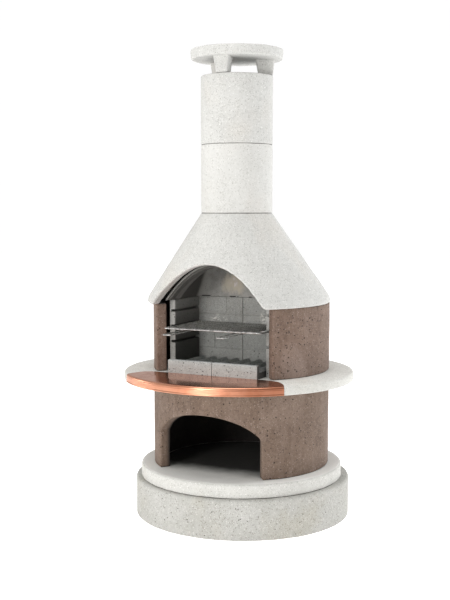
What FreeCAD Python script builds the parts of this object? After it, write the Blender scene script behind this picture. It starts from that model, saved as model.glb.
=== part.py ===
import FreeCAD, Part
import math
import os
from FreeCAD import Vector

# Garden barbecue fireplace, stacked from precast concrete pieces.
# Millimetres, +Z up, the fire mouth looks along -Y.
# Origin: axis of the two curved walls, on the underside of the base.

# ---------- rings and discs, from the ground up ----------
BASE_R = 540.0          # ground casting
BASE_BACK = 14.0        # the ground casting stands a little further back
BASE_TOP = 193.0
BASE_FLOOR = 45.0       # it is cast as a dish to save weight
BASE_RIM = 140.0
SLAB_R = 506.0          # second step
SLAB_TOP = 262.0
BED = 2.0               # adhesive bed between two castings
BED_INSET = 4.0         # the bed stops short of the faces, which leaves a joint line
WALL_R = 440.0          # both curved walls
WALL_T = 50.0
LOWER_TOP = 688.0
SHELF_R = 572.0         # worktop
SHELF_FRONT = 29.5      # the worktop is set forward
SHELF_BOTTOM = 690.0
SHELF_TOP = 736.0
SHELF_FLAT_R = 475.0    # outside this radius the top falls, so that rain runs off
SHELF_FALL = 6.0
SHELF_ROUND = 9.0
COPPER_T = 2.0
COPPER_HALF = 420.0     # half width of the copper covered part
COPPER_BACK = -332.0    # its straight back edge
COPPER_CORNER = 130.0   # plan radius of its two back corners
UPPER_TOP = 1068.0

# ---------- openings in the walls ----------
STORE_HALF = 38.5       # degrees either side of the front, wood store
STORE_SPRING = 450.0
STORE_APEX = 563.0
FIRE_HALF = 44.6        # degrees either side of the front, fire opening

# ---------- outer hood and chimney ----------
HOOD_Z0 = 1070.0
HOOD_Z1 = 1095.0        # upright rim below, cone above
HOOD_Z2 = 1508.0
HOOD_AX = 450.0
HOOD_AY = 467.0
HOOD_FRONT = 27.0
HOOD_T = 48.0
ARCH_HALF = 292.0
ARCH_APEX = 1267.0
FLUE_R = 175.0
FLUE_T = 50.0
FLUE_FRONT = 56.0       # chimney axis, forward of the wall axis
FLUE_Z1 = 1837.0
FLUE_Z2 = 2165.0
CAP_R = 225.5
CAP_UNDER = 2243.0
CAP_TOP = 2290.0
LEG_FOOT = ((107.0, 19.6), (172.0, 31.5))   # radius and half width, inside and outside
LEG_HEAD = ((90.0, 21.0), (180.0, 42.0))

# ---------- firebox ----------
BOX_HALF = 245.0        # clear half width between the side liners
BOX_FRONT = -244.0
LINER_BACK = 8.0
LINER_T = 30.0
BOX_BACK = 14.0         # face of the back slabs, a finger clear of the side slabs
PANEL_T = 35.0
LINER_H = 350.0
COURSE = 87.5           # height of one brick course of the back wall
SLOT_Z = (874.0, 950.0, 1026.0)
SLOT_H = 12.0
SLOT_D = 23.0
HEARTH_FRONT = -330.0
HEARTH_HALF = 239.0
HEARTH_H = 66.0
RIDGE_PITCH = 63.4
RIDGE_DROP = 22.0         # from the top of the kerb down to the crests
RIDGE_DEPTH = 24.0

# ---------- inner smoke hood ----------
SMOKE_Z0 = 1086.0
SMOKE_Z1 = 1440.0
SMOKE_T = 28.0
LIP_HALF = 246.0
LIP_APEX = 1250.0
LIP_W = 24.0
LIP_FRONT = -292.0
LIP_BACK = -245.0        # at its foot; its back follows the slope of the funnel
LIP_SLOPE = 0.186

# ---------- cooking grid ----------
WIRE_R = 3.5
GRID_HALF = 257.0
GRID_FRONT = -332.0
GRID_BACK = -7.5
GRID_Z = 953.8
BAR_R = 2.0
BAR_COUNT = 37
BAR_SPAN = 232.0
BEND_R = 14.0
HANDLE_X = 139.0
HANDLE_HALF = 20.0
HANDLE_TIP = -520.0
HANDLE_ROOT = -245.0
HANDLE_R = 3.0

UP = Vector(0, 0, 1)
BACK = Vector(0, 1, 0)


def disc(radius, z0, z1, y=0.0):
    """Plain upright cylinder whose axis is at y."""
    return Part.makeCylinder(radius, z1 - z0, Vector(0, y, z0))


def ring(outer, inner, z0, z1, y=0.0):
    """Upright tube."""
    return disc(outer, z0, z1, y).cut(disc(inner, z0 - 1, z1 + 1, y))


def block(x0, x1, y0, y1, z0, z1):
    """Box from its two opposite corners."""
    return Part.makeBox(x1 - x0, y1 - y0, z1 - z0, Vector(x0, y0, z0))


def rounded(shape, radius, chosen):
    """Fillets the edges that the test accepts."""
    return shape.makeFillet(radius, [e for e in shape.Edges if chosen(e)])


def is_circle(edge, radius, z=None):
    """True for a full circle of this radius, at this height if one is given."""
    curve = edge.Curve
    if not isinstance(curve, Part.Circle) or abs(curve.Radius - radius) > 0.01:
        return False
    return z is None or abs(curve.Center.z - z) < 0.01


def arch_wire(half, z0, spring, apex, y):
    """Upright outline of an arched opening: straight sides, then one parabola."""
    crown = Part.BezierCurve()
    crown.setPoles([Vector(half, y, spring), Vector(0, y, 2 * apex - spring), Vector(-half, y, spring)])
    corners = [Vector(-half, y, spring), Vector(-half, y, z0), Vector(half, y, z0), Vector(half, y, spring)]
    sides = [Part.makeLine(a, b) for a, b in zip(corners, corners[1:]) if (a - b).Length > 0.01]
    return Part.Wire(sides + [crown.toShape()])


def arch_prism(half, z0, spring, apex, y0, y1):
    """Arched opening of constant section, running along Y."""
    face = Part.Face(arch_wire(half, z0, spring, apex, y0))
    return face.extrude(Vector(0, y1 - y0, 0))


def radial_opening(half_angle, z0, spring, apex):
    """Arched opening whose jambs point at the axis of the wall."""
    slope = math.tan(math.radians(half_angle))
    near = arch_wire(200.0 * slope, z0, spring, apex, -200.0)
    far = arch_wire(600.0 * slope, z0, spring, apex, -600.0)
    return Part.makeLoft([near, far], True, True)


def oval(ax, ay, y, z, power=2.0, count=48):
    """Closed smooth plan outline, a circle or ellipse at power 2 and squarer above it."""
    points = []
    for i in range(count):
        a = 2 * math.pi * i / count
        c = math.cos(a)
        s = math.sin(a)
        k = (abs(c) ** power + abs(s) ** power) ** (-1.0 / power)
        points.append(Vector(ax * k * c, y + ay * k * s, z))
    curve = Part.BSplineCurve()
    curve.interpolate(Points=points, PeriodicFlag=True)
    return Part.Wire(curve.toShape())


def straight_loft(*outlines):
    """Solid with straight sides between plan outlines."""
    return Part.makeLoft(list(outlines), True, True)


def rod(start, end, radius):
    """Round wire between two points."""
    return Part.makeCylinder(radius, (end - start).Length, start, end - start)


def quarter_bend(centre, start, bend, wire):
    """Quarter turn of round wire in a level plane, from the start angle in degrees."""
    turn = Part.makeTorus(bend, wire, Vector(0, 0, 0), UP, 0, 360, 90)
    turn.rotate(Vector(0, 0, 0), UP, start)
    turn.translate(centre)
    return turn


# ---------- stacked castings ----------
def foundation_casting():
    """Ground casting: a heavy dish with a rounded upper edge."""
    body = disc(BASE_R, 0, BASE_TOP, BASE_BACK)
    body = rounded(body, 12.0, lambda e: is_circle(e, BASE_R, BASE_TOP))
    return body.cut(disc(BASE_R - BASE_RIM, BASE_FLOOR, BASE_TOP + 1, BASE_BACK))


def plinth_slab():
    """Second step, on which the wood store stands."""
    body = disc(SLAB_R, BASE_TOP + BED, SLAB_TOP)
    return rounded(body, 9.0, lambda e: is_circle(e, SLAB_R, SLAB_TOP))


def lower_wall():
    """Horseshoe wall round the wood store, with an arched mouth."""
    body = ring(WALL_R, WALL_R - WALL_T, SLAB_TOP + BED, LOWER_TOP)
    return body.cut(radial_opening(STORE_HALF, SLAB_TOP, STORE_SPRING, STORE_APEX))


def shelf_solid(grow):
    """Worktop disc, enlarged on its top and rim by a sheet thickness."""
    r = SHELF_R + grow
    top = SHELF_TOP + grow
    outline = [(0, SHELF_BOTTOM), (r, SHELF_BOTTOM), (r, top - SHELF_FALL), (SHELF_FLAT_R, top), (0, top)]
    points = [Vector(a, 0, b) for a, b in outline]
    face = Part.Face(Part.makePolygon(points + points[:1]))
    body = face.revolve(Vector(0, 0, 0), UP, 360)
    body = rounded(body, SHELF_ROUND + grow, lambda e: is_circle(e, r, top - SHELF_FALL))
    body.translate(Vector(0, -SHELF_FRONT, 0))
    return body


def copper_region():
    """Upright prism over the part of the worktop that carries copper."""
    h = COPPER_HALF
    c = COPPER_CORNER
    y = COPPER_BACK
    k = c * (1 - math.sqrt(0.5))
    z = 600.0
    edges = [
        Part.makeLine(Vector(-h, -800, z), Vector(h, -800, z)),
        Part.makeLine(Vector(h, -800, z), Vector(h, y - c, z)),
        Part.Arc(Vector(h, y - c, z), Vector(h - k, y - k, z), Vector(h - c, y, z)).toShape(),
        Part.makeLine(Vector(h - c, y, z), Vector(c - h, y, z)),
        Part.Arc(Vector(c - h, y, z), Vector(k - h, y - k, z), Vector(-h, y - c, z)).toShape(),
        Part.makeLine(Vector(-h, y - c, z), Vector(-h, -800, z)),
    ]
    return Part.Face(Part.Wire(edges)).extrude(Vector(0, 0, 300))


def copper_cover():
    """Sheet folded over the front of the worktop and down its rim."""
    return shelf_solid(COPPER_T).cut(shelf_solid(0.0)).common(copper_region())


def upper_wall():
    """Horseshoe wall round the firebox, open to its full height in front."""
    body = ring(WALL_R, WALL_R - WALL_T, SHELF_TOP + BED, UPPER_TOP)
    return body.cut(radial_opening(FIRE_HALF, SHELF_TOP, 1200.0, 1300.0))


def hood():
    """Outer hood: upright rim, cone up to the chimney, arched mouth."""
    y0 = -HOOD_FRONT
    y1 = -FLUE_FRONT
    outside = straight_loft(
        oval(HOOD_AX, HOOD_AY, y0, HOOD_Z0),
        oval(HOOD_AX, HOOD_AY, y0, HOOD_Z1),
        oval(FLUE_R, FLUE_R, y1, HOOD_Z2),
    )
    ax = HOOD_AX - HOOD_T
    ay = HOOD_AY - HOOD_T
    bore = FLUE_R - FLUE_T
    inside = straight_loft(
        oval(ax, ay, y0, HOOD_Z0 - 5),
        oval(ax, ay, y0, HOOD_Z0 + 8),
        oval(bore, bore, y1, HOOD_Z2 - 20),
        oval(bore, bore, y1, HOOD_Z2 + 5),
    )
    mouth = arch_prism(ARCH_HALF, HOOD_Z0 - 5, HOOD_Z0, ARCH_APEX, -600.0, -150.0)
    return outside.cut(inside).cut(mouth)


def chimney_pipe(z0, z1):
    """One length of chimney with slightly broken edges."""
    body = disc(FLUE_R, z0, z1, -FLUE_FRONT)
    body = rounded(body, 2.5, lambda e: is_circle(e, FLUE_R))
    return body.cut(disc(FLUE_R - FLUE_T, z0 - 1, z1 + 1, -FLUE_FRONT))


def cap_leg(angle):
    """Foot of the cap on the top of the pipe, a wedge that grows towards its head."""
    rise = CAP_UNDER - FLUE_Z2 - BED + 5
    outlines = []
    for (inner, near), (outer, far), z in ((*LEG_FOOT, 0), (*LEG_HEAD, rise)):
        corners = [(-near, -inner), (near, -inner), (far, -outer), (-far, -outer)]
        points = [Vector(x, y, z) for x, y in corners]
        outlines.append(Part.makePolygon(points + points[:1]))
    leg = Part.makeLoft(outlines, True, True)
    leg.rotate(Vector(0, 0, 0), UP, angle)
    leg.translate(Vector(0, -FLUE_FRONT, FLUE_Z2 + BED))
    return leg


def chimney_cap():
    """Rain disc on its feet, one casting."""
    body = disc(CAP_R, CAP_UNDER, CAP_TOP, -FLUE_FRONT)
    body = rounded(body, 8.0, lambda e: is_circle(e, CAP_R))
    for angle in (0.0, 120.0, 240.0):
        body = body.fuse(cap_leg(angle))
    return body.removeSplitter()


def bed_ring(outer, inner, z, y=0.0):
    """Adhesive bed under a ring shaped casting."""
    return ring(outer - BED_INSET, inner + BED_INSET, z, z + BED, y)


def wall_bed(z, half_angle):
    """Adhesive bed of a horseshoe wall, short of the jambs too."""
    body = bed_ring(WALL_R, WALL_R - WALL_T, z)
    return body.cut(radial_opening(half_angle + 0.6, z - 20, z + 40, z + 60))


# ---------- firebox ----------
def side_liner(side):
    """Refractory side slab with three open ended slots for the cooking grid."""
    body = block(BOX_HALF, BOX_HALF + LINER_T, BOX_FRONT, LINER_BACK, SHELF_TOP, SHELF_TOP + LINER_H)
    body = rounded(body, 3.0, lambda e: abs(e.CenterOfMass.y - BOX_FRONT) < 0.01 and abs(e.CenterOfMass.z - 911) < 1)
    for z in SLOT_Z:
        body = body.cut(block(BOX_HALF - 1, BOX_HALF + SLOT_D, BOX_FRONT - 1, LINER_BACK + 1, z, z + SLOT_H))
    return body if side > 0 else body.mirror(Vector(0, 0, 0), Vector(1, 0, 0))


def back_panel(side, uprights):
    """Refractory back slab, scored on its front like coursed brick."""
    outer = BOX_HALF + LINER_T
    body = block(0.5, outer, BOX_BACK, BOX_BACK + PANEL_T, SHELF_TOP, SHELF_TOP + LINER_H)
    for i in (1, 2, 3):
        z = SHELF_TOP + i * COURSE
        body = body.cut(block(0, outer + 1, BOX_BACK - 1, BOX_BACK + 3, z - 1.5, z + 1.5))
    for course, x in uprights:
        z = SHELF_TOP + course * COURSE
        body = body.cut(block(x - 1.5, x + 1.5, BOX_BACK - 1, BOX_BACK + 3, z + 1.5, z + COURSE - 1.5))
    return body if side > 0 else body.mirror(Vector(0, 0, 0), Vector(1, 0, 0))


def hearth_block(side):
    """Half of the hearth: a kerb in front, ridges behind it that let air under the fire."""
    body = block(0.5, HEARTH_HALF, HEARTH_FRONT, BOX_BACK - 1, SHELF_TOP, SHELF_TOP + HEARTH_H)
    body = rounded(body, 6.0, lambda e: abs(e.CenterOfMass.y - HEARTH_FRONT) < 0.01)
    top = SHELF_TOP + HEARTH_H - RIDGE_DROP
    kerb_back = HEARTH_FRONT + 24
    body = body.cut(block(-1, HEARTH_HALF + 1, kerb_back, BOX_BACK + 1, top, top + RIDGE_DROP + 1))
    for i in range(5):
        x = RIDGE_PITCH * i
        pairs = [(-27, 1), (27, 1), (27, 0), (5, -RIDGE_DEPTH), (-5, -RIDGE_DEPTH), (-27, 0)]
        points = [Vector(x + a, kerb_back, top + b) for a, b in pairs]
        body = body.cut(Part.Face(Part.makePolygon(points + points[:1])).extrude(Vector(0, 400, 0)))
    return body if side > 0 else body.mirror(Vector(0, 0, 0), Vector(1, 0, 0))


def smoke_outline(inset, z):
    """Plan outline of the smoke hood at a height: a rounded oblong that turns into a circle."""
    y0 = (BOX_BACK + PANEL_T + BOX_FRONT - 12) / 2
    ay = BOX_BACK + PANEL_T - y0
    s = (z - SMOKE_Z0) / (SMOKE_Z1 - SMOKE_Z0)
    wide = (BOX_HALF + LINER_T) * (1 - s) + 140.0 * s
    deep = ay * (1 - s) + 140.0 * s
    return oval(wide - inset, deep - inset, y0 * (1 - s) - FLUE_FRONT * s, z, 9.0 - 7.0 * s)


def smoke_hood():
    """Inner smoke hood: a funnel to the chimney with a stepped lip round its arch."""
    levels = [SMOKE_Z0 + (SMOKE_Z1 - SMOKE_Z0) * i / 4.0 for i in range(5)]
    outside = straight_loft(*[smoke_outline(0.0, z) for z in levels])
    below = SMOKE_Z0 - 30
    above = SMOKE_Z1 + 30
    inside = straight_loft(*[smoke_outline(SMOKE_T, z) for z in [below] + levels[1:-1] + [above]])
    half = LIP_HALF + LIP_W
    apex = LIP_APEX + LIP_W
    lip = arch_prism(half, SMOKE_Z0, SMOKE_Z0, apex, LIP_FRONT, -150.0)
    back = [(LIP_BACK - 10 * LIP_SLOPE, -10), (LIP_BACK + 300 * LIP_SLOPE, 300), (0, 300), (0, -10)]
    points = [Vector(-400, y, SMOKE_Z0 + z) for y, z in back]
    behind = Part.Face(Part.makePolygon(points + points[:1])).extrude(Vector(800, 0, 0))
    lip = lip.cut(behind)
    step = arch_prism(half - 11, SMOKE_Z0 - 5, SMOKE_Z0, apex - 11, LIP_FRONT - 1, LIP_FRONT + 11)
    mouth = arch_prism(LIP_HALF, SMOKE_Z0 - 5, SMOKE_Z0, LIP_APEX, -600.0, -190.0)
    return outside.cut(inside).fuse(lip.cut(step)).cut(mouth).removeSplitter()


# ---------- cooking grid ----------
def grid_frame():
    """Oblong hoop of heavy wire that runs in the slots."""
    x = GRID_HALF
    b = BEND_R
    z = GRID_Z
    y0 = GRID_FRONT
    y1 = GRID_BACK
    parts = [
        rod(Vector(-x + b, y0, z), Vector(x - b, y0, z), WIRE_R),
        rod(Vector(-x + b, y1, z), Vector(x - b, y1, z), WIRE_R),
        rod(Vector(-x, y0 + b, z), Vector(-x, y1 - b, z), WIRE_R),
        rod(Vector(x, y0 + b, z), Vector(x, y1 - b, z), WIRE_R),
        quarter_bend(Vector(x - b, y1 - b, z), 0, b, WIRE_R),
        quarter_bend(Vector(-x + b, y1 - b, z), 90, b, WIRE_R),
        quarter_bend(Vector(-x + b, y0 + b, z), 180, b, WIRE_R),
        quarter_bend(Vector(x - b, y0 + b, z), 270, b, WIRE_R),
    ]
    return parts[0].fuse(parts[1:]).removeSplitter()


def grid_bars():
    """Thin bars, front to back, lying on the hoop and the cross rods."""
    z = GRID_Z + WIRE_R + BAR_R - 0.05
    step = 2 * BAR_SPAN / (BAR_COUNT - 1)
    bars = []
    for i in range(BAR_COUNT):
        x = -BAR_SPAN + i * step
        bars.append(rod(Vector(x, GRID_FRONT - 3, z), Vector(x, GRID_BACK + 3, z), BAR_R))
    return Part.makeCompound(bars)


def grid_cross_rods():
    """Two heavier rods across the hoop, under the thin bars."""
    rods = []
    for y in (-245.0, -126.0):
        rods.append(rod(Vector(-GRID_HALF + WIRE_R, y, GRID_Z), Vector(GRID_HALF - WIRE_R, y, GRID_Z), WIRE_R))
    return Part.makeCompound(rods)


def grid_handle(x):
    """Long U of wire, welded under the first cross rod and the front of the hoop."""
    z = GRID_Z - WIRE_R - HANDLE_R + 0.05
    w = HANDLE_HALF
    y = HANDLE_TIP
    b = 12.0
    parts = [
        rod(Vector(x - w, HANDLE_ROOT, z), Vector(x - w, y + b, z), HANDLE_R),
        rod(Vector(x + w, HANDLE_ROOT, z), Vector(x + w, y + b, z), HANDLE_R),
        rod(Vector(x - w + b, y, z), Vector(x + w - b, y, z), HANDLE_R),
        quarter_bend(Vector(x - w + b, y + b, z), 180, b, HANDLE_R),
        quarter_bend(Vector(x + w - b, y + b, z), 270, b, HANDLE_R),
    ]
    return parts[0].fuse(parts[1:]).removeSplitter()


bore = FLUE_R - FLUE_T
SUBPARTS = {
    "foundation_casting": foundation_casting(),
    "foundation_bed": bed_ring(SLAB_R, BASE_R - BASE_RIM + BASE_BACK, BASE_TOP),
    "plinth_slab": plinth_slab(),
    "lower_wall_bed": wall_bed(SLAB_TOP, STORE_HALF),
    "lower_wall": lower_wall(),
    "worktop_bed": bed_ring(WALL_R, WALL_R - WALL_T, LOWER_TOP),
    "worktop": shelf_solid(0.0),
    "copper_cover": copper_cover(),
    "upper_wall_bed": wall_bed(SHELF_TOP, FIRE_HALF),
    "upper_wall": upper_wall(),
    "hood_bed": wall_bed(UPPER_TOP, FIRE_HALF),
    "hood": hood(),
    "lower_flue_bed": bed_ring(FLUE_R, bore, HOOD_Z2, -FLUE_FRONT),
    "chimney_pipe_lower": chimney_pipe(HOOD_Z2 + BED, FLUE_Z1),
    "upper_flue_bed": bed_ring(FLUE_R, bore, FLUE_Z1, -FLUE_FRONT),
    "chimney_pipe_upper": chimney_pipe(FLUE_Z1 + BED, FLUE_Z2),
    "chimney_cap": chimney_cap(),
    "side_liner_left": side_liner(-1),
    "side_liner_right": side_liner(1),
    "back_panel_left": back_panel(-1, [(3, 91.0), (1, 156.0)]),
    "back_panel_right": back_panel(1, [(1, 156.0), (0, 88.0)]),
    "hearth_block_left": hearth_block(-1),
    "hearth_block_right": hearth_block(1),
    "smoke_hood": smoke_hood(),
    "grid_frame": grid_frame(),
    "grid_cross_rods": grid_cross_rods(),
    "grid_bars": grid_bars(),
    "grid_handle_left": grid_handle(-HANDLE_X),
    "grid_handle_right": grid_handle(HANDLE_X),
}

os.makedirs("parts", exist_ok=True)
for name, shape in SUBPARTS.items():
    shape.exportStep("parts/" + name + ".step")
    b = shape.BoundBox
    print(name, shape.isValid(), len(shape.Solids), round(shape.Volume / 1e6, 3), "litres",
          [round(v, 1) for v in (b.XMin, b.XMax, b.YMin, b.YMax, b.ZMin, b.ZMax)])
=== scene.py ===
import math

import bpy
import numpy as np
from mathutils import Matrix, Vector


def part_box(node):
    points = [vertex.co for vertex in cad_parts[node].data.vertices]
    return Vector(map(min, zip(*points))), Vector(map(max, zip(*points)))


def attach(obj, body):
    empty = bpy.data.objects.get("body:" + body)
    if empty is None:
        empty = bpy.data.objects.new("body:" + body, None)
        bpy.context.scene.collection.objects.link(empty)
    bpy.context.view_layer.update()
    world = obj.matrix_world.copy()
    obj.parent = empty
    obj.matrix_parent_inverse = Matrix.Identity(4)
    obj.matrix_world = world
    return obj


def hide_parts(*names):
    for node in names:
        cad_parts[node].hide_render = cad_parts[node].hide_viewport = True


# %% [markdown]
# # A round garden barbecue, one casting at a time
# The real object is a stack of heavy concrete castings glued on top of each other: a base, a
# step, a horseshoe wall round the wood store, a worktop, a second wall round the fire, a hood
# and a chimney. This lesson dresses its measured frame. Almost every casting is worked out
# again as a finely divided surface, because poured concrete has soft, slightly uneven edges
# that a plain solid does not have, and because those edges are what the light picks out.

# %% Load the measured frame
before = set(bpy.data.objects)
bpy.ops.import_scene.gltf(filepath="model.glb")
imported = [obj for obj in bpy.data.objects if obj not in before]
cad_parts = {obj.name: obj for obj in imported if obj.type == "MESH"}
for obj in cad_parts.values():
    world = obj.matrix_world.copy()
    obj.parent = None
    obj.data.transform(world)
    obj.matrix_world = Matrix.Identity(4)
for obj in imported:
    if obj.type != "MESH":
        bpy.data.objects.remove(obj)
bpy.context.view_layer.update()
scene = bpy.context.scene

# %% [markdown]
# ## Camera, floor and light
# The object is seen a little from its right and from about head height of a seated person,
# through a lens long enough to keep its uprights nearly parallel. The world is an even pale
# white. The main panel stands low in front: low, because the light has to reach the back of the
# firebox under the hood. A panel on the left and a stronger one behind on the right brighten the
# two edges, so that the darkest zone of every round casting lies right of its middle, and a wide
# panel overhead fills the tops of the worktop and the step.

# %% Camera
BEARING, STAND_OFF, EYE_HEIGHT = math.radians(25.5), 5.163, 1.5355
HEADING = BEARING + math.radians(0.92)
PITCH = math.radians(6.766)
eye = np.array([STAND_OFF * math.sin(BEARING), -STAND_OFF * math.cos(BEARING), EYE_HEIGHT])
lens = bpy.data.cameras.new("camera")
lens.sensor_width = 36.0
lens.lens = 61.974
lens.shift_y = 0.05
camera = bpy.data.objects.new("camera", lens)
camera.location = eye
camera.rotation_euler = (math.pi / 2 - PITCH, 0.0, HEADING)
scene.collection.objects.link(camera)
scene.camera = camera
print("camera stands", round(float(np.hypot(eye[0], eye[1])), 2), "m away, lens", round(lens.lens, 1), "mm")


# %% Lamps and world
def panel_lamp(name, place, target, size, power, colour):
    """A rectangular panel lamp at a place, turned to face a target point."""
    light = bpy.data.lights.new(name, "AREA")
    light.shape = "RECTANGLE"
    light.size, light.size_y = size
    light.energy = power
    light.color = colour
    lamp = bpy.data.objects.new(name, light)
    away = np.array(place) - np.array(target)
    lamp.location = place
    lamp.rotation_euler = (math.atan2(math.hypot(away[0], away[1]), away[2]), 0.0,
                           math.atan2(away[0], -away[1]))
    scene.collection.objects.link(lamp)


panel_lamp("front_panel", (-0.66, -5.96, 1.9), (0.0, 0.0, 1.1), (1.5, 2.4), 155.0, (1.0, 0.99, 0.97))
panel_lamp("left_panel", (-5.4, -0.8, 2.0), (0.0, 0.0, 1.1), (0.9, 2.6), 55.0, (1.0, 0.99, 0.97))
panel_lamp("edge_panel", (4.1, 4.2, 2.2), (0.0, 0.0, 1.1), (2.0, 3.0), 245.0, (0.98, 0.99, 1.0))
panel_lamp("top_panel", (0.0, -0.9, 5.4), (0.0, -0.1, 1.1), (3.6, 3.6), 135.0, (1.0, 1.0, 1.0))
world = bpy.data.worlds.new("studio")
scene.world = world
world.use_nodes = True
world.node_tree.nodes["Background"].inputs["Color"].default_value = (1.0, 1.0, 1.0, 1.0)
world.node_tree.nodes["Background"].inputs["Strength"].default_value = 0.51
scene.view_settings.view_transform = "Standard"

# %% [markdown]
# ## Meshes from arrays
# Every new piece is a grid of points computed in one go, so a shape is a short formula. These
# helpers join a grid into faces, close its ends, and turn the result into a mesh object that
# rides on its body and stands for its node of the frame.


# %% Grids, faces and pieces
SHARP_ANGLE = 0.75


def grid_faces(rows, cols, wrap_rows=False, wrap_cols=False):
    """Four-cornered faces between neighbouring points of a rows by cols grid."""
    r = np.arange(rows if wrap_rows else rows - 1)
    c = np.arange(cols if wrap_cols else cols - 1)
    a, b = np.meshgrid(r, c, indexing="ij")
    a2, b2 = (a + 1) % rows, (b + 1) % cols
    quads = np.stack([a * cols + b, a * cols + b2, a2 * cols + b2, a2 * cols + b], axis=-1)
    return quads.reshape(-1, 4).tolist()


def turned_out(points, faces):
    """Reverses the faces if the volume they enclose comes out negative."""
    volume = 0.0
    for size in {len(f) for f in faces}:
        same = np.array([f for f in faces if len(f) == size])
        for k in range(1, size - 1):
            a, b, c = points[same[:, 0]], points[same[:, k]], points[same[:, k + 1]]
            volume += np.einsum("ij,ij->", a, np.cross(b, c)) / 6.0
    return faces if volume > 0 else [f[::-1] for f in faces]


def make_piece(name, sheets, nodes, finish, body="masonry"):
    """One mesh object from closed sheets of points and faces."""
    points, faces, start = [], [], 0
    for pts, fcs in sheets:
        pts = np.asarray(pts, float).reshape(-1, 3)
        faces += [[i + start for i in f] for f in turned_out(pts, fcs)]
        points.append(pts)
        start += len(pts)
    mesh = bpy.data.meshes.new(name)
    mesh.from_pydata(np.concatenate(points).tolist(), [], faces)
    mesh.polygons.foreach_set("use_smooth", np.array([len(f) == 4 for f in faces]))
    mesh.set_sharp_from_angle(angle=SHARP_ANGLE)
    mesh.materials.append(finish)
    piece = bpy.data.objects.new(name, mesh)
    scene.collection.objects.link(piece)
    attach(piece, body)
    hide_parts(*nodes)
    print(name, "-", len(mesh.vertices), "points,", len(mesh.polygons), "faces")


def ripple(points, size, seed):
    """Smooth noise from -1 to 1: the mean of nine sine waves in random directions."""
    rng = np.random.default_rng(seed)
    ways = rng.normal(size=(9, 3))
    ways *= (2 * math.pi / size * rng.uniform(0.6, 1.7, 9) / np.linalg.norm(ways, axis=1))[:, None]
    waves = np.sin(np.einsum("...k,wk->...w", points, ways) + rng.uniform(0, 7, 9))
    return waves.mean(axis=-1) * 1.8


# %% Rounded outlines and lathe work
def rounded_outline(corners, radii, steps=6, longest=0.02):
    """Closed outline: each corner becomes an arc of its radius, long runs are divided."""
    corners = np.array(corners, float)
    parts = []
    for i, (p, radius) in enumerate(zip(corners, radii)):
        back, ahead = corners[i - 1] - p, corners[(i + 1) % len(corners)] - p
        back, ahead = back / np.linalg.norm(back), ahead / np.linalg.norm(ahead)
        half = math.acos(np.clip(back @ ahead, -1, 1)) / 2
        t = np.linspace(0, 1, steps)[:, None]
        if radius < 1e-6:
            parts.append(p[None, :])
            continue
        middle = p + (back + ahead) / np.linalg.norm(back + ahead) * radius / math.sin(half)
        run = radius / math.tan(half)
        first, last = p + back * run - middle, p + ahead * run - middle
        swing = math.pi - 2 * half
        arc = (np.sin((1 - t) * swing) * first + np.sin(t * swing) * last) / math.sin(swing)
        parts.append(middle + arc)
    loop = np.concatenate(parts)
    gap = np.linalg.norm(np.roll(loop, -1, axis=0) - loop, axis=1)
    pieces = [loop[i] + np.linspace(0, 1, max(1, math.ceil(g / longest)), endpoint=False)[:, None]
              * (loop[(i + 1) % len(loop)] - loop[i]) for i, g in enumerate(gap)]
    return np.concatenate(pieces)


def lathe(outline, y, count=256, uneven=0.0, seed=1):
    """Turns a closed outline of radius and height round an upright axis at y.

    Points of the outline on the axis are dropped, and the two small rings next to them are closed
    with one flat face each. Uneven moves each point along its normal by that much smooth noise."""
    solid = outline[:, 0].min() < 1e-6
    turn = np.roll(outline, -1, axis=0) - np.roll(outline, 1, axis=0)
    out = np.stack([turn[:, 1], -turn[:, 0]], axis=1)
    out /= np.linalg.norm(out, axis=1)[:, None]
    out *= np.sign(((outline - outline.mean(axis=0)) * out).sum())
    if solid:
        on_axis = outline[:, 0] < 1e-6
        first = int(np.flatnonzero(on_axis & ~np.roll(on_axis, -1))[0]) + 1
        order = np.roll(np.arange(len(outline)), -first)
        order = order[~on_axis[order]]
        outline, out = outline[order], out[order]
    a = np.linspace(0, 2 * math.pi, count, endpoint=False)[:, None]
    points = np.stack([outline[:, 0] * np.sin(a), y - outline[:, 0] * np.cos(a),
                       np.broadcast_to(outline[:, 1], (count, len(outline)))], axis=-1)
    push = uneven * ripple(points, 0.11, seed)
    sideways, up = push * out[:, 0], push * out[:, 1]
    points += np.stack([sideways * np.sin(a), -sideways * np.cos(a), up], axis=-1)
    faces = grid_faces(count, len(outline), True, not solid)
    if solid:
        n = len(outline)
        faces += [list(range(0, count * n, n)), list(range(n - 1, count * n, n))[::-1]]
    return points.reshape(-1, 3), faces

# %% [markdown]
# ## Finishes
# A finish is a small graph of nodes. The arithmetic on it is written as ordinary expressions:
# the class below wraps a socket, and adding or multiplying two of them adds a Math node. All
# patterns read Object coordinates in metres, so a grain has the same size on every casting.


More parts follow.
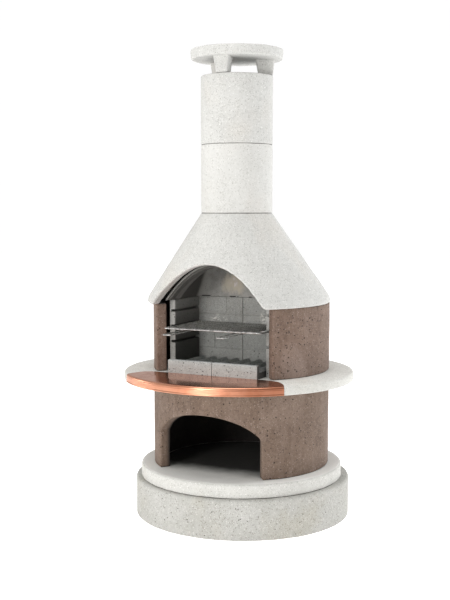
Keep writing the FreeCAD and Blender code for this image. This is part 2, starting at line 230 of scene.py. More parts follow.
# %% Shader arithmetic
class Val:
    """A number that changes over a surface. Its operators add Math nodes to the same graph."""

    def __init__(self, finish, socket):
        self.finish, self.socket = finish, socket

    def _math(self, operation, first, second=0.0):
        settings = {"operation": operation, "use_clamp": False}
        return self.finish.node("ShaderNodeMath", settings, {0: first, 1: second})

    def __add__(self, other):
        return self._math("ADD", self, other)

    def __sub__(self, other):
        return self._math("SUBTRACT", self, other)

    def __mul__(self, other):
        return self._math("MULTIPLY", self, other)

    def __rsub__(self, other):
        return self._math("SUBTRACT", other, self)

    def __gt__(self, other):
        return self._math("GREATER_THAN", self, other)

    __radd__, __rmul__ = __add__, __mul__

    def at_most(self, other):
        """The smaller of the two values."""
        return self._math("MINIMUM", self, other)

    def rise(self, low, high):
        """0 below low, 1 above high, and a smooth step between them."""
        return self.finish.node("ShaderNodeMapRange", {"interpolation_type": "SMOOTHSTEP"},
                                {"Value": self, "From Min": low, "From Max": high}, "Result")

    def beside(self, output):
        """The value of another output of the same node."""
        return Val(self.finish, self.socket.node.outputs[output])


class Finish:
    """One material: a Principled shader and the graph that feeds it."""

    def __init__(self, name, **constants):
        self.material = bpy.data.materials.new(name)
        self.material.use_nodes = True
        self.tree = self.material.node_tree
        self.shader = self.tree.nodes["Principled BSDF"]
        for key, value in constants.items():
            self.shader.inputs[key.replace("_", " ")].default_value = value
        self.place = self.node("ShaderNodeTexCoord", {}, {}, "Object")

    def node(self, kind, settings, values, out=0):
        """Adds a node: its settings first, then the values or links of its sockets."""
        made = self.tree.nodes.new(kind)
        for key, value in settings.items():
            setattr(made, key, value)
        for key, value in values.items():
            if isinstance(value, Val):
                self.tree.links.new(value.socket, made.inputs[key])
            else:
                made.inputs[key].default_value = value
        return Val(self, made.outputs[out])

    def axes(self):
        """The x, y and z of the Object coordinates, as three numbers."""
        x = self.node("ShaderNodeSeparateXYZ", {}, {"Vector": self.place}, "X")
        return x, x.beside("Y"), x.beside("Z")

    def noise(self, size, detail=3.0, roughness=0.55, where=None, distortion=0.0):
        """Cloudy noise whose largest patches are about size metres."""
        return self.node("ShaderNodeTexNoise", {"normalize": True},
                         {"Vector": where or self.place, "Scale": 1.0 / size, "Detail": detail,
                          "Roughness": roughness, "Distortion": distortion}, "Fac")

    def stretched(self, scale, turn=(0.0, 0.0, 0.0)):
        """The coordinates multiplied axis by axis, after a turn."""
        return self.node("ShaderNodeMapping", {"vector_type": "POINT"},
                         {"Vector": self.place, "Scale": scale, "Rotation": turn}, "Vector")

    def shaken(self, size, amount, where=None):
        """The coordinates pushed about by noise of this size, so that grains are not perfect balls."""
        where = where or self.place
        sockets = {"Vector": where, "Scale": 1.0 / size, "Detail": 2.0}
        push = self.node("ShaderNodeTexNoise", {}, sockets, "Color")
        return self.node("ShaderNodeVectorMath", {"operation": "MULTIPLY_ADD"},
                         {0: push, 1: (amount, amount, amount), 2: where}, "Vector")

    def grains(self, size, fullness, where=None):
        """Separate round grains: a mask of the grains and a random number for each grain."""
        settings = {"voronoi_dimensions": "3D", "feature": "F1"}
        sockets = {"Vector": where or self.place, "Scale": 1.0 / size, "Randomness": 1.0}
        near = self.node("ShaderNodeTexVoronoi", settings, sockets, "Distance")
        pick = self.node("ShaderNodeSeparateColor", {}, {"Color": near.beside("Color")}, "Red")
        radius = pick.beside("Green") * 0.34 + 0.06
        present = pick > 1.0 - fullness
        return (1.0 - (near - radius).rise(-0.04, 0.05)) * present, pick.beside("Blue")

    def mix(self, factor, first, second):
        """Colour mix: first where the factor is 0, second where it is 1."""
        return self.node("ShaderNodeMix", {"data_type": "RGBA", "blend_type": "MIX"},
                         {0: factor, 6: first, 7: second}, 2)

    def bump(self, height, depth, strength=1.0):
        """Surface relief: height times depth, in metres."""
        values = {"Height": height, "Distance": depth, "Strength": strength}
        return self.node("ShaderNodeBump", {}, values, "Normal")

    def wire(self, socket, value):
        """Links a value to a socket of the shader."""
        self.tree.links.new(value.socket, self.shader.inputs[socket])


def rgb(r, g, b):
    """A colour with full alpha."""
    return (r, g, b, 1.0)


# %% [markdown]
# ## Concrete
# All the castings are concrete, washed while it was still green so that the sand and small
# stones show. Four layers make it: soft clouds in the cement, fine dark sand, grains of two
# sizes in their own colours, and small air holes left against the mould. The white mix, the
# through-coloured brown mix and the grey refractory mix differ only in their colours and
# amounts, so one function makes them all.


# %% Concrete of any mix
def concrete(name, cement, cloud, dark, light, fine=0.6, coarse=0.2, pits=0.0, pit_size=0.010, streaks=0.0,
             stain=None, stained=0.0, relief=1.0, rough=0.86, wash=0.75, bold=0.35, shade=None):
    """Cement with clouds, fine and coarse grains, pits, and optional upright streaks and stains.

    Each layer is mixed over the one before: mix(factor, below, above). Wash is how clearly the fine
    grains show and bold how clearly the coarse ones do. Shade, if given, is a function of the finish,
    the colour so far and the clouds, for salts, darker faces and painted light and shade that lie in one
    place."""
    f = Finish(name, Roughness=rough, IOR=1.45)
    clouds = f.noise(0.15, 4.0, 0.6)
    mottle = f.noise(0.018, 3.0, 0.65)
    base = f.mix((clouds * 0.6 + mottle * 0.55 - 0.08).rise(0.25, 0.80), cement, cloud)
    if streaks:
        run = f.noise(0.030, 3.0, 0.6, f.stretched((1.0, 1.0, 0.10)))
        base = f.mix(run.rise(0.45, 0.75) * streaks, base, stain)
    if stained:
        patch = f.noise(0.26, 3.0, 0.6, f.stretched((1.0, 1.0, 0.6), (0.4, 0.2, 0.9)))
        base = f.mix(patch.rise(0.48, 0.72) * stained, base, stain)
    sand = f.noise(0.0026, 2.0, 0.8)
    base = f.mix(sand.rise(0.50, 0.70) * 0.34 * wash, base, dark)
    loose = f.shaken(0.0036, 0.0080)
    small, tone = f.grains(0.0048, fine, loose)
    base = f.mix(small * (tone > 0.45) * wash, base, dark)
    base = f.mix(small * (1.0 - (tone > 0.34)) * wash, base, light)
    large, depth = f.grains(0.0084, coarse, loose)
    base = f.mix(large * (depth > 0.45) * bold, base, dark)
    base = f.mix(large * (1.0 - (depth > 0.40)) * bold, base, light)
    height = f.noise(0.0032, 2.0, 0.7) * 0.35 + small * 0.25 + large * 0.30
    height = height + mottle * 0.6 + f.noise(0.05, 2.0, 0.5) * 1.2
    if pits:
        turned = f.stretched((1.0, 1.0, 1.0), (0.7, 0.3, 0.2))
        holes, _ = f.grains(pit_size, pits, f.shaken(0.006, 0.004, turned))
        # Painted shade: the air holes are coloured nearly black as well as sunk in the relief.
        base = f.mix(holes * 0.85, base, rgb(dark[0] * 0.35, dark[1] * 0.33, dark[2] * 0.31))
        height = height - holes * 2.4
    if shade:
        base = shade(f, base, clouds)
    f.wire("Base Color", base)
    f.wire("Normal", f.bump(height, 0.0011 * relief, 0.85))
    f.wire("Roughness", (mottle * 0.22 + rough - 0.10 - small * 0.10).at_most(0.98))
    return f.material


# %% Painted light and shade, darker faces and salts
def painted_store_shade(f, base, clouds):
    """Painted shade inside the wood store: dark where the distance from the axis is under 0.41 m."""
    x, y, _ = f.axes()
    inside = 1.0 - (x * x + y * y + clouds * 0.012).rise(0.158, 0.178)
    # Painted shade: the inner faces of the store are darkened almost to black.
    return f.mix(inside * 0.97, base, rgb(0.010, 0.008, 0.007))


def painted_step_light_and_shade(f, base, clouds):
    """Painted light on the top, paler than the side, and painted shade on it towards the back of the store.
    """
    x, y, z = f.axes()
    round_part = 1.0 - (x * x + y * y).rise(0.152, 0.157)
    deep = (y + clouds * 0.10).rise(-0.29, -0.12)
    painted_top_light = z.rise(0.2595, 0.2615)
    # Painted light: the top is made paler than the side, where the worktop shades it.
    base = f.mix(painted_top_light * 0.70, base, rgb(0.86, 0.855, 0.83))
    # Painted shade: the floor inside the store darkens towards its back.
    return f.mix(round_part * deep * 0.97, base, rgb(0.010, 0.009, 0.007))


def slab_dark_inner_faces(f, base, clouds):
    """Darkens the side slabs behind their front faces, less so towards the top."""
    _, y, z = f.axes()
    behind_front = (y + clouds * 0.008).rise(-0.2405, -0.2365)
    low = 1.0 - z.rise(0.86, 1.09) * 0.55
    # The inner faces are painted darker, most strongly low down.
    return f.mix(behind_front * low * 0.90, base, rgb(0.030, 0.031, 0.026))


def back_salt(f, base, clouds):
    """Pale salts washed out of the back slabs in two oval patches: a flat one and an upright one."""
    x, _, z = f.axes()
    wisps = f.noise(0.030, 4.0, 0.7, f.stretched((1.0, 1.0, 1.8)), 1.2)
    flat, upright = (-0.13, 0.968, 260.0, 900.0, 0.50, 0.60), (0.115, 0.985, 1800.0, 500.0, 0.47, 0.58)
    for middle_x, middle_z, by_x, by_z, thin, thick in (flat, upright):
        across, up = x - middle_x, z - middle_z
        patch = 1.0 - (across * across * by_x + up * up * by_z).rise(0.2, 1.0)
        base = f.mix(patch * wisps.rise(thin, thick) * 0.8, base, rgb(0.70, 0.69, 0.65))
    return base


def kerb_painted_shade_and_dark_ridges(f, base, clouds):
    """Painted shade on the outer ends of the hearth blocks, where |x| is over 0.237, and their ridged tops a
    little darker.
    """
    x, y, _ = f.axes()
    ends = (x * x).rise(0.0562, 0.0568)
    ridges = y.rise(-0.325, -0.295)
    # Painted shade: the block ends are darkened strongly; the ridged tops are darkened a little.
    return f.mix((ends * 0.80 + ridges * 0.16).at_most(0.85), base, rgb(0.040, 0.040, 0.036))


def painted_shelf_side_shade(f, base, clouds):
    """Painted shade on the edge of the worktop below its rounding, at 0.73 m: the side is darker than the
    top.
    """
    _, _, z = f.axes()
    # Painted shade: the rim below the rounding is darkened.
    return f.mix((1.0 - z.rise(0.7255, 0.7340)) * 0.32, base, rgb(0.36, 0.355, 0.325))


# %% The mixes
washed_white = concrete(
    "washed_white", cement=rgb(0.705, 0.698, 0.663), cloud=rgb(0.584, 0.579, 0.544),
    dark=rgb(0.24, 0.23, 0.205), light=rgb(0.84, 0.83, 0.80), fine=0.85, coarse=0.60, bold=0.40,
    stain=rgb(0.54, 0.49, 0.42), stained=0.25, shade=painted_shelf_side_shade)
step_white = concrete(
    "step_white", cement=rgb(0.585, 0.579, 0.551), cloud=rgb(0.500, 0.496, 0.467),
    dark=rgb(0.26, 0.25, 0.22), light=rgb(0.84, 0.83, 0.80), fine=0.80, coarse=0.55, bold=0.34,
    stain=rgb(0.54, 0.49, 0.42), stained=0.22, shade=painted_step_light_and_shade)
hood_white = concrete(
    "hood_white", cement=rgb(0.544, 0.541, 0.521), cloud=rgb(0.474, 0.471, 0.452),
    dark=rgb(0.196, 0.191, 0.174), light=rgb(0.731, 0.727, 0.705), fine=0.98, coarse=0.75, bold=0.34,
    stain=rgb(0.56, 0.50, 0.43), stained=0.22)
pipe_white = concrete(
    "pipe_white", cement=rgb(0.560, 0.555, 0.534), cloud=rgb(0.508, 0.504, 0.481),
    dark=rgb(0.221, 0.212, 0.187), light=rgb(0.697, 0.693, 0.671), fine=0.85, coarse=0.45, bold=0.30,
    stain=rgb(0.54, 0.49, 0.43), stained=0.22, relief=0.7)
base_white = concrete(
    "base_white", cement=rgb(0.470, 0.465, 0.442), cloud=rgb(0.365, 0.359, 0.330),
    dark=rgb(0.131, 0.122, 0.096), light=rgb(0.679, 0.670, 0.635), fine=0.95, coarse=0.80, bold=0.45,
    stain=rgb(0.42, 0.39, 0.31), stained=0.40, pits=0.05, pit_size=0.008)
brown_wall = concrete(
    "brown_wall", cement=rgb(0.180, 0.125, 0.092), cloud=rgb(0.101, 0.066, 0.047),
    dark=rgb(0.040, 0.026, 0.019), light=rgb(0.36, 0.28, 0.235), fine=0.90, coarse=0.60, bold=0.42,
    stain=rgb(0.250, 0.185, 0.150), stained=0.45, pits=0.16, pit_size=0.010, streaks=0.35, wash=0.65,
    shade=painted_store_shade)
fire_brown = concrete(
    "fire_brown", cement=rgb(0.203, 0.137, 0.103), cloud=rgb(0.108, 0.071, 0.053),
    dark=rgb(0.036, 0.024, 0.017), light=rgb(0.37, 0.29, 0.25), fine=0.90, coarse=0.60, bold=0.42,
    stain=rgb(0.31, 0.235, 0.20), stained=0.60, pits=0.24, pit_size=0.011, streaks=0.20, wash=0.65)
grey_lining = concrete(
    "grey_lining", cement=rgb(0.374, 0.377, 0.361), cloud=rgb(0.284, 0.285, 0.269),
    dark=rgb(0.075, 0.074, 0.068), light=rgb(0.56, 0.55, 0.52), fine=0.90, coarse=0.55, bold=0.36,
    stain=rgb(0.31, 0.28, 0.235), stained=0.20, pits=0.04, wash=0.6, shade=back_salt)
side_lining = concrete(
    "side_lining", cement=rgb(0.374, 0.374, 0.359), cloud=rgb(0.302, 0.302, 0.286),
    dark=rgb(0.080, 0.078, 0.072), light=rgb(0.52, 0.51, 0.48), fine=0.80, coarse=0.40, bold=0.36,
    pits=0.08, pit_size=0.008, wash=0.6, shade=slab_dark_inner_faces)
kerb_grey = concrete(
    "kerb_grey", cement=rgb(0.428, 0.444, 0.436), cloud=rgb(0.333, 0.345, 0.337),
    dark=rgb(0.060, 0.060, 0.054), light=rgb(0.62, 0.63, 0.61), fine=0.90, coarse=0.55, bold=0.50,
    pits=0.24, pit_size=0.0078, shade=kerb_painted_shade_and_dark_ridges)
print("concretes:", [m.name for m in bpy.data.materials if m.node_tree and "_" in m.name])

# %% [markdown]
# ## Smoke hood, joints, copper and chromed wire
# The inner hood is the same grey mix, sooted most heavily in the throat and burnt off in a pale
# patch where the flames reach the back; painted shade darkens its side walls and the gaps along its
# lower back edge. The glue joints are nearly black because they lie in a shadow. Copper sheet is
# rolled, so its fine scratches run one way, and handling leaves darker clouds on it. The cooking grid
# is bright chromed wire, a little dulled.


# %% Sooted lining with painted shade
def soot_and_shade_lining():
    """Grey concrete, sooted more with height, with painted shade on its side walls and in the gaps at its
    lower back edge, and a burnt-off patch at the back.
    """
    f = Finish("soot_and_shade_lining", Roughness=0.9)
    across, depth, height = f.axes()
    clouds = f.noise(0.06, 4.0, 0.62)
    grain, _ = f.grains(0.005, 0.45)
    base = f.mix(clouds.rise(0.3, 0.7), rgb(0.33, 0.325, 0.305), rgb(0.235, 0.23, 0.215))
    base = f.mix(grain * 0.6, base, rgb(0.09, 0.088, 0.082))
    # Painted shade over the soot on the side walls and the lip's reveal, lighter on the lip's front face.
    side = (1.0 - (depth + clouds * 0.02).rise(-0.022, 0.012)) * (depth.rise(-0.2900, -0.2840) * 0.56 + 0.34)
    soot_and_shade = ((height + clouds * 0.18 - 1.36).rise(0.0, 0.30) * 0.9 + side).at_most(0.89)
    base = f.mix(soot_and_shade, base, rgb(0.040, 0.038, 0.034))
    streaks = f.noise(0.020, 4.0, 0.65, f.stretched((1.0, 1.0, 0.35)))
    patch_x = across + 0.055
    patch_z = height - 1.155
    spread = patch_x * patch_x * 110.0 + patch_z * patch_z * 150.0 + streaks * 1.6
    patch = (1.0 - spread.rise(0.85, 1.45)) * depth.rise(-0.10, -0.05)
    base = f.mix(patch * 0.75, base, rgb(0.47, 0.415, 0.33))
    heart = (1.0 - (spread + clouds * 0.7).rise(0.75, 1.10)) * depth.rise(-0.10, -0.05)
    base = f.mix(heart * 0.75, base, rgb(0.60, 0.57, 0.60))
    # Painted shade: uneven dark gaps along the lower back edge.
    painted_gap_shade = (1.0 - height.rise(1.0905, 1.0925)) * depth.rise(-0.005, 0.01)
    painted_gap_shade = painted_gap_shade * f.noise(0.045, 3.0, 0.7).rise(0.46, 0.54)
    base = f.mix(painted_gap_shade * 0.95, base, rgb(0.012, 0.011, 0.010))
    f.wire("Base Color", base)
    f.wire("Normal", f.bump(clouds * 1.2 + grain * 0.4 + f.noise(0.004, 2.0, 0.7) * 0.4, 0.0011, 0.8))
    return f.material


# %% Joint, copper and wire
def joint_glue():
    """Dark grey adhesive, rough, squeezed unevenly."""
    f = Finish("joint_glue", Roughness=0.95)
    lumps = f.noise(0.006, 3.0, 0.6)
    f.wire("Base Color", f.mix(lumps, rgb(0.055, 0.050, 0.044), rgb(0.12, 0.11, 0.10)))
    f.wire("Normal", f.bump(lumps, 0.001))
    return f.material


def copper_sheet():
    """Rolled copper: fine scratches along X, finger clouds, and a painted darker reflection on the rim,
    strongest towards its right end.
    """
    f = Finish("copper_sheet", Metallic=1.0, Roughness=0.2)
    clouds = f.noise(0.09, 4.0, 0.6)
    scratch = f.noise(0.0016, 2.0, 0.7, f.stretched((0.03, 1.0, 1.0)))
    handling = f.noise(0.045, 3.0, 0.55)
    base = f.mix(clouds.rise(0.35, 0.75), rgb(0.77, 0.375, 0.240), rgb(0.65, 0.280, 0.165))
    base = f.mix(handling.rise(0.50, 0.85) * 0.25, base, rgb(0.42, 0.165, 0.090))
    x, _, z = f.axes()
    rim = 1.0 - z.rise(0.727, 0.7345)
    right = (x + clouds * 0.1).rise(0.06, 0.42)
    # Painted darker reflection: the rim is darkened, most towards its right end.
    base = f.mix(rim * (right * 0.50 + 0.24), base, rgb(0.29, 0.100, 0.052))
    f.wire("Base Color", base)
    f.wire("Roughness", scratch * 0.05 + handling.rise(0.45, 0.8) * 0.06 + rim * 0.14 + 0.17)
    f.wire("Normal", f.bump(f.noise(0.16, 2.0, 0.5) * 0.8 + scratch * 0.006, 0.0009, 0.5))
    return f.material


def chromed_wire():
    """Bright chromed steel, slightly dulled and spotted by heat."""
    f = Finish("chromed_wire", Metallic=0.85, Roughness=0.3)
    dull = f.noise(0.026, 4.0, 0.70)
    f.wire("Base Color", f.mix(dull.rise(0.38, 0.62) * 0.85, rgb(0.60, 0.60, 0.59), rgb(0.22, 0.217, 0.208)))
    f.wire("Roughness", dull * 0.25 + 0.22)
    f.wire("Normal", f.bump(f.noise(0.003, 2.0, 0.5), 0.0001, 0.5))
    return f.material


soot_and_shade, glue, copper, chrome = soot_and_shade_lining(), joint_glue(), copper_sheet(), chromed_wire()
for name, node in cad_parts.items():
    if name.endswith("_bed"):
        for place in node.material_slots:
            place.material = glue
print("finishes:", len(bpy.data.materials))

# %% [markdown]
# ## The base and the step
# Two round castings carry everything: a base cast as a shallow dish, and a flat step. Each is a
# lathe shape: the outline of a half section, with its corners rounded as poured concrete rounds
# them, turned once about the upright axis. A ripple of under a millimetre keeps the rims from
# looking machined.


# %% Discs
def box_of(node):
    """Lowest and highest corner of a frame node, as two arrays in metres."""
    low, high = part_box(node)
    return np.array(low, float), np.array(high, float)


low, high = box_of("foundation_casting")
base_r, base_y = (high[0] - low[0]) / 2, (high[1] + low[1]) / 2
RIM_WIDTH, DISH_FLOOR = 0.14, 0.045
rim = base_r - RIM_WIDTH
outline = rounded_outline([(0, low[2]), (base_r, low[2]), (base_r, high[2]),
                           (rim, high[2]), (rim, DISH_FLOOR), (0, DISH_FLOOR)],
                          [0, 0.004, 0.014, 0.004, 0.004, 0], longest=0.018)
make_piece("base_casting", [lathe(outline, base_y, 320, 0.0008, 3)], ["foundation_casting"],
           base_white)

low, high = box_of("plinth_slab")
slab_r = high[0]
outline = rounded_outline([(0, low[2]), (slab_r, low[2]), (slab_r, high[2]), (0, high[2])],
                          [0, 0.005, 0.012, 0], longest=0.018)
make_piece("base_step", [lathe(outline, 0.0, 320, 0.0008, 4)], ["plinth_slab"],
           step_white)
print("base radius", round(float(base_r), 3), "step radius", round(float(slab_r), 3))

# %% [markdown]
# ## A wall with an opening
# The horseshoe walls and the hood are the same kind of thing: a thin shell round an upright
# axis, with an arched hole cut in its lower edge. The lower edge is drawn as one closed path of
# angle and height that runs round the back, up one jamb, over the arch and down the other. Rows
# of points leave that path at right angles for as long as the edge is rounded, and then run
# straight to the top. The same rows come back on the inner face.


# %% Path of the lower edge
def edge_path(angle, height, reach, blur, spacing):
    """Closed path of angle and height, evenly spaced, its corners softened.

    The path is laid out flat (angle times reach against height), resampled every millimetre,
    and averaged with a bell curve whose width is blur. Angle grows by one full turn."""
    flat = np.stack([angle * reach, height], axis=1)
    closed = np.vstack([flat, flat[:1] + [2 * math.pi * reach, 0.0]])
    along = np.concatenate([[0.0], np.cumsum(np.linalg.norm(np.diff(closed, axis=0), axis=1))])
    fine = np.arange(0.0, along[-1], 0.001)
    dense = np.stack([np.interp(fine, along, closed[:, k]) for k in (0, 1)], axis=1)
    trend = np.stack([fine / along[-1] * 2 * math.pi * reach, np.zeros(len(fine))], axis=1)
    step = np.arange(len(fine))
    bell = np.exp(-0.5 * (np.minimum(step, len(fine) - step) * 0.001 / blur) ** 2)
    spectrum = np.fft.rfft(bell / bell.sum())[:, None]
    dense = np.fft.irfft(np.fft.rfft(dense - trend, axis=0) * spectrum, len(fine), axis=0) + trend
    pick = np.linspace(0, len(fine), int(along[-1] / spacing), endpoint=False).astype(int)
    return dense[pick] / [reach, 1.0]


def arched_edge(arch_a, arch_z, low_z, reach, blur, spacing):
    """Edge path that runs level round the back, from one foot of an arch to the other, and over it."""
    foot = float(arch_a[-1])
    level = np.linspace(foot, 2 * math.pi - foot, 300)[:-1]
    return edge_path(np.concatenate([level, 2 * math.pi + arch_a[:-1]]),
                     np.concatenate([np.full(len(level), low_z), arch_z[:-1]]), reach, blur, spacing)


# %% Shell above that path
def pierced_shell(path, reach, top, outer, inner, thick, soft, soft_inner, soft_top, rows, uneven, seed):
    """Closed shell between two surfaces of angle and height, with the path as its lower edge.

    A row is a distance d from the edge and a depth q between the surfaces. Round the edge
    they follow a quarter circle: d = soft (1 - sin), q = soft (1 - cos)."""
    a, z = path.T
    ahead, behind = np.roll(path, -1, axis=0), np.roll(path, 1, axis=0)
    ahead[-1, 0] += 2 * math.pi
    behind[0, 0] -= 2 * math.pi
    along = (ahead - behind) * [reach, 1.0]
    along /= np.linalg.norm(along, axis=1)[:, None]
    side_a, side_z = -along[:, 1] / reach, along[:, 0]
    top_a = a[0] + np.linspace(0, 2 * math.pi, len(a), endpoint=False)
    top_a += (a - top_a).mean()
    soft = soft * (1 + 0.22 * ripple(np.stack([np.sin(a), np.cos(a), z * 2], axis=1), 0.09, seed + 9))
    quarter = np.linspace(0, math.pi / 2, 7)[:, None]
    steps = np.linspace(0, 1, rows + 2)[1:-1, None]
    flat = np.ones(len(a))

    def off_edge(d, q):
        return a + d * side_a, z + d * side_z, q * flat

    def at_top(d, q):
        return top_a * np.ones((len(d), 1)), (top - d) * flat, q * flat

    edge_out = off_edge(soft * (1 - np.sin(quarter)), soft * (1 - np.cos(quarter)) / thick)
    across = np.linspace(0, 1, 6)[1:-1, None]
    reveal = off_edge(0.0 * across, soft / thick + (1 - (soft + soft_inner) / thick) * across)
    edge_in = off_edge(soft_inner * (1 - np.cos(quarter)), 1 - soft_inner * (1 - np.sin(quarter)) / thick)
    top_d, top_q = soft_top * (1 - np.sin(quarter)), soft_top * (1 - np.cos(quarter)) / thick
    top_out, top_in = at_top(top_d[::-1], top_q[::-1]), at_top(top_d, 1 - top_q)
    face_out = [f[-1] + (g[0] - f[-1]) * steps for f, g in zip(top_out, edge_out)]
    face_in = [f[-1] + (g[0] - f[-1]) * steps for f, g in zip(edge_in, top_in)]
    groups = [top_out, face_out, edge_out, reveal, edge_in, face_in, top_in]
    ra, rz, rq = (np.concatenate([np.broadcast_to(g[k], (len(g[2]), len(a))) for g in groups])
                  for k in range(3))
    outside, inside = outer(ra, rz), inner(ra, rz)
    points = outside + (inside - outside) * rq[..., None]
    way = outside - inside
    way /= np.linalg.norm(way, axis=-1)[..., None]
    points += way * (uneven * ripple(points, 0.12, seed) * (1 - 2 * rq))[..., None]
    return points.reshape(-1, 3), grid_faces(len(ra), len(a), True, True)


# %% [markdown]
# ## The wall round the wood store
# A brown wall 50 mm thick with a low, wide arch. Its jambs point at the axis, so the mouth is a
# little narrower inside than outside.

# %% Wood store wall
low, high = box_of("lower_wall")
wall_r, wall_t = float(high[0]), 0.050


def wall_face(radius):
    """Upright cylinder: x = radius sin(angle), y = -radius cos(angle)."""
    return lambda a, z: np.stack([radius * np.sin(a), -radius * np.cos(a), z], axis=-1)


STORE_HALF, STORE_SPRING, STORE_APEX = math.radians(38.5), 0.450, 0.563
z0, z1 = float(low[2]), float(high[2])
share = np.linspace(-1, 1, 201)
arch_a = 2 * math.pi + np.arctan(share * math.tan(STORE_HALF))
arch_z = STORE_APEX - (STORE_APEX - STORE_SPRING) * share ** 2
level = np.linspace(STORE_HALF, 2 * math.pi - STORE_HALF, 300)
store_path = edge_path(np.concatenate([level, arch_a, [2 * math.pi + STORE_HALF]]),
                       np.concatenate([np.full(300, z0), arch_z, [z0 + 0.001]]), wall_r, 0.006, 0.0065)
opened = np.clip((store_path[:, 1] - z0) / 0.02, 0, 1)
shell = pierced_shell(store_path, wall_r, z1, wall_face(wall_r), wall_face(wall_r - wall_t), wall_t,
                      0.003 + 0.005 * opened, 0.004, 0.003, 16, 0.0007, 11)
make_piece("wood_store_wall", [shell], ["lower_wall"], brown_wall)


# %% [markdown]
# ## The wall round the fire
# This wall is open to its full height, so in plan it is a C. A plan outline carried straight up
# is enough, drawn in by a few millimetres at both ends so that the arrises are round.


# %% Straight prisms
def prism(loop, start, end, soft, place, spacing=0.03, uneven=0.0, seed=1):
    """Carries a closed flat outline from start to end, with both end edges rounded.

    Each ring is the outline moved inwards by soft (1 - sin); place turns (u, v, height) into
    x, y, z. The end rings are closed by one face each."""
    turn = np.roll(loop, -1, axis=0) - np.roll(loop, 1, axis=0)
    out = np.stack([turn[:, 1], -turn[:, 0]], axis=1) / np.linalg.norm(turn, axis=1)[:, None]
    area = (loop[:, 0] * np.roll(loop[:, 1], -1) - loop[:, 1] * np.roll(loop[:, 0], -1)).sum()
    out *= np.sign(area)
    q = np.linspace(0, math.pi / 2, 5)
    inset = soft * (1 - np.sin(q))
    rise = soft * (1 - np.cos(q))
    middle = np.linspace(start + soft, end - soft, max(2, int((end - start) / spacing)))
    height = np.concatenate([start + rise, middle[1:-1], (end - rise)[::-1]])
    draw_in = np.concatenate([inset, 0 * middle[1:-1], inset[::-1]])
    ring = loop[None] - draw_in[:, None, None] * out[None]
    solid = np.concatenate([ring, np.broadcast_to(height[:, None, None], ring.shape[:2] + (1,))], axis=-1)
    solid[..., :2] += uneven * ripple(solid, 0.11, seed)[..., None] * out
    count = len(loop)
    faces = grid_faces(len(height), count, False, True)
    faces += [list(range(count))[::-1], list(range((len(height) - 1) * count, len(height) * count))]
    return place(solid.reshape(-1, 3)), faces


# %% Fire wall
FIRE_HALF = math.radians(44.6)
low, high = box_of("upper_wall")
sweep = np.linspace(FIRE_HALF, 2 * math.pi - FIRE_HALF, 150)
face_out = np.stack([wall_r * np.sin(sweep), -wall_r * np.cos(sweep)], axis=1)
face_in = face_out[::-1] * (wall_r - wall_t) / wall_r
radii = np.zeros(300)
radii[[0, 149, 150, 299]] = (0.008, 0.008, 0.006, 0.006)
c_plan = rounded_outline(np.concatenate([face_out, face_in]), radii, 7, 0.014)
wall = prism(c_plan, float(low[2]), float(high[2]), 0.003, lambda p: p, 0.02, 0.0007, 12)
make_piece("fire_wall", [wall], ["upper_wall"], fire_brown)

# %% [markdown]
# ## The worktop and its copper front
# The worktop is a lathe shape that falls a few millimetres towards its rim to shed rain. The
# copper is one sheet laid on its front part, folded over the edge and down the rim, and rolled
# into a small hem below. It is drawn on the same outline: each line of points starts on the
# plan of the sheet's back edge and follows the outline outwards and down.

# %% Worktop
low, high = box_of("worktop")
shelf_r, shelf_y = (high[0] - low[0]) / 2, (high[1] + low[1]) / 2
shelf_low, shelf_top, FLAT_R, FALL = float(low[2]), float(high[2]), 0.475, 0.006


def shelf_outline(grow, soft):
    """Half section of the worktop, enlarged by a sheet thickness."""
    r, top = shelf_r + grow, shelf_top + grow
    corners = [(0, shelf_low), (r, shelf_low), (r, top - FALL), (FLAT_R, top), (0, top)]
    return rounded_outline(corners, [0, 0.006, soft, 0, 0], longest=0.02)


make_piece("worktop_disc", [lathe(shelf_outline(0.0, 0.010), shelf_y, 320, 0.0005, 5)], ["worktop"],
           washed_white)

# %% Copper sheet
low, high = box_of("copper_cover")
SHEET, PLY, HALF, BACK, CORNER = 0.002, 0.0013, 0.420, float(high[1]), 0.130
FOLD_R = 0.011
# Steps outwards and down from the top of the rim, then outwards and up from its underside.
crease = [(0.0002, 0.0125), (-0.0007, 0.0138), (0.0002, 0.0151)]
hem = [(0.0002, 0.0080), (0.0016, 0.0066), (0.0022, 0.0045), (0.0017, 0.0022), (0.0002, 0.0010)]
swing = np.linspace(0, math.pi / 2, 60)
right = np.stack([HALF - CORNER + CORNER * np.sin(swing), BACK - CORNER + CORNER * np.cos(swing)], axis=1)
straight = np.stack([np.linspace(-(HALF - CORNER), HALF - CORNER, 60), np.full(60, BACK)], axis=1)[1:-1]
back_edge = np.concatenate([(right * [-1, 1])[::-1], straight, right])
polar_r = np.hypot(back_edge[:, 0], back_edge[:, 1] - shelf_y)
polar_a = np.arctan2(back_edge[:, 0], -(back_edge[:, 1] - shelf_y))
on_sheet = polar_r <= shelf_r - 0.001
polar_r, polar_a = polar_r[on_sheet], polar_a[on_sheet]
rim_a = np.linspace(polar_a[0], polar_a[-1], len(polar_a))
r1, top = shelf_r + SHEET, shelf_top + SHEET
bend = np.linspace(0, math.pi / 2, 8)
section = np.concatenate([
    [[0.30, top], [FLAT_R, top]],
    np.stack([r1 - FOLD_R * (1 - np.sin(bend)), top - FALL - FOLD_R * (1 - np.cos(bend))], axis=1),
    [[r1 + out, top - FALL - down] for out, down in crease],
    [[r1 + out, shelf_low + up] for out, up in hem]])
run = np.concatenate([[0.0], np.cumsum(np.linalg.norm(np.diff(section, axis=0), axis=1))])
start = np.interp(polar_r, section[:9, 0], run[:9])
fold = run[3]
rows = np.concatenate([np.linspace(0, 1, 26)[:-1], np.linspace(1, 2, 48)])[:, None]
inward = np.minimum(rows, 1) * np.maximum(fold - start, 0)
